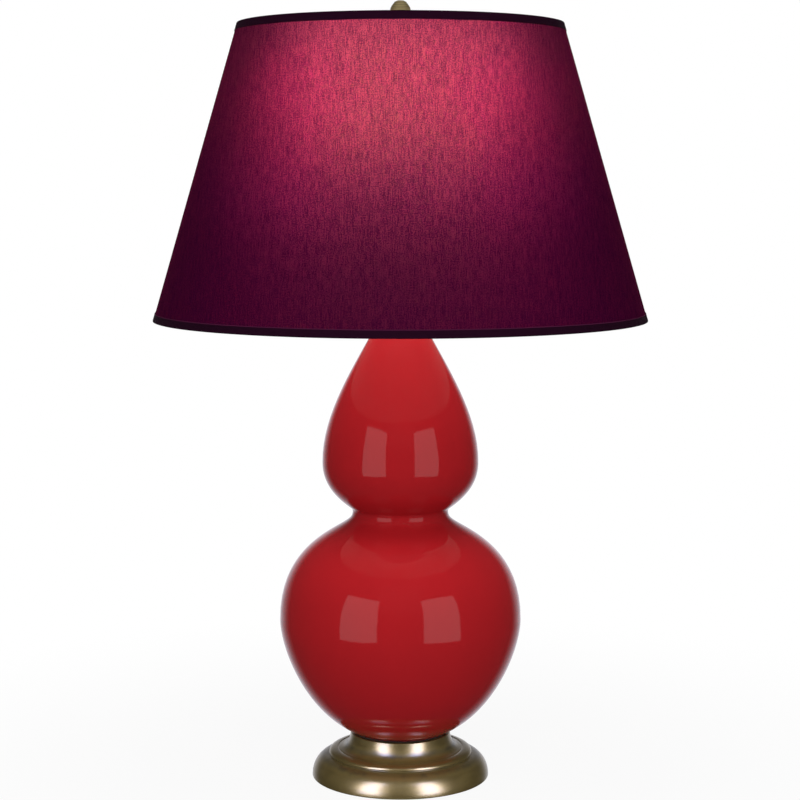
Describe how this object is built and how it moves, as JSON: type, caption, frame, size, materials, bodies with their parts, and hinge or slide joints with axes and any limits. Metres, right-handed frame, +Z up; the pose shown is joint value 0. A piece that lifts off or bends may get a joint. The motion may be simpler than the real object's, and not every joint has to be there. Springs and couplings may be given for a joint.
{
  "type": "table lamp",
  "caption": "Table lamp with a glossy red double gourd body on a round antique brass foot, under a plum cone shade carried by a wire harp.",
  "frame": {"origin": "middle of the underside of the foot, on the surface that the lamp stands on", "axes": "+Z up along the lamp's axis, -Y the front where the knob points, +X right along the harp"},
  "size_m": [0.4965, 0.4966, 0.787],
  "materials": {
    "antique_brass": "satin, darkened",
    "felt": "napped",
    "dark_felt": "matt",
    "black_plastic": "matt",
    "plated_steel": "plated",
    "red_glaze": "glossy glaze",
    "harp_brass": "polished",
    "socket_brass": "satin",
    "liner_card": "plain",
    "screw_metal": "plain",
    "clear_glass": "clear",
    "filament_wire": "drawn",
    "frosted_glass": "frosted",
    "plum_fabric": "slubbed weave",
    "pale_liner": "matt sheet",
    "dark_tape": "ribbed tape",
    "frame_brass": "plated wire"
  },
  "bodies": {
    "base": {"foot": "antique_brass", "foot_felt": "felt", "cord_gland": "black_plastic", "lamp_rod": "plated_steel", "bottom_nut": "plated_steel", "bottom_washer": "plated_steel", "seat_gasket": "dark_felt", "gourd_body": "red_glaze", "vase_cap": "antique_brass", "neck_tube": "antique_brass", "top_nut": "antique_brass", "harp_saddle": "harp_brass", "socket_cap": "socket_brass", "socket_shell": "socket_brass", "socket_liner": "liner_card", "socket_interior": "black_plastic", "screw_shell": "screw_metal", "contact_tab": "screw_metal", "terminal_screws": "screw_metal"},
    "switch": {"switch_shaft": "screw_metal", "switch_knob": "black_plastic"},
    "bulb": {"bulb_cap": "screw_metal", "bulb_insulator": "black_plastic", "bulb_contact": "screw_metal", "bulb_stem": "clear_glass", "bulb_filament": "filament_wire", "bulb_glass": "frosted_glass"},
    "harp": {"harp_loop": "harp_brass"},
    "left_ferrule": {"ferrule_left": "harp_brass"},
    "right_ferrule": {"ferrule_right": "harp_brass"},
    "swivel": {"harp_seat": "harp_brass"},
    "shade": {"shade_fabric": "plum_fabric", "shade_liner": "pale_liner", "top_trim": "dark_tape", "bottom_trim": "dark_tape", "shade_spider": "frame_brass", "bottom_ring": "frame_brass"},
    "finial": {"finial": "antique_brass"}
  },
  "joints": [
    {"name": "switch_turn", "type": "hinge", "parent": "base", "child": "switch", "pos_m": [0, -0.03, 0.5506], "axis": [0, -1, 0], "continuous": true},
    {"name": "bulb_unscrew", "type": "slide", "parent": "base", "child": "bulb", "axis": [0, 0, 1], "range_m": [0, 0.03]},
    {"name": "harp_lift", "type": "slide", "parent": "base", "child": "harp", "axis": [0, 0, 1], "range_m": [0, 0.04]},
    {"name": "ferrule_left_lift", "type": "slide", "parent": "harp", "child": "left_ferrule", "axis": [0, 0, 1], "range_m": [0, 0.012]},
    {"name": "ferrule_right_lift", "type": "slide", "parent": "harp", "child": "right_ferrule", "axis": [0, 0, 1], "range_m": [0, 0.012]},
    {"name": "shade_turn", "type": "hinge", "parent": "harp", "child": "swivel", "pos_m": [0, 0, 0.7534], "axis": [0, 0, 1], "continuous": true},
    {"name": "shade_lift", "type": "slide", "parent": "swivel", "child": "shade", "axis": [0, 0, 1], "range_m": [0, 0.32]},
    {"name": "finial_unscrew", "type": "slide", "parent": "shade", "child": "finial", "axis": [0, 0, 1], "range_m": [0, 0.02]}
  ]
}
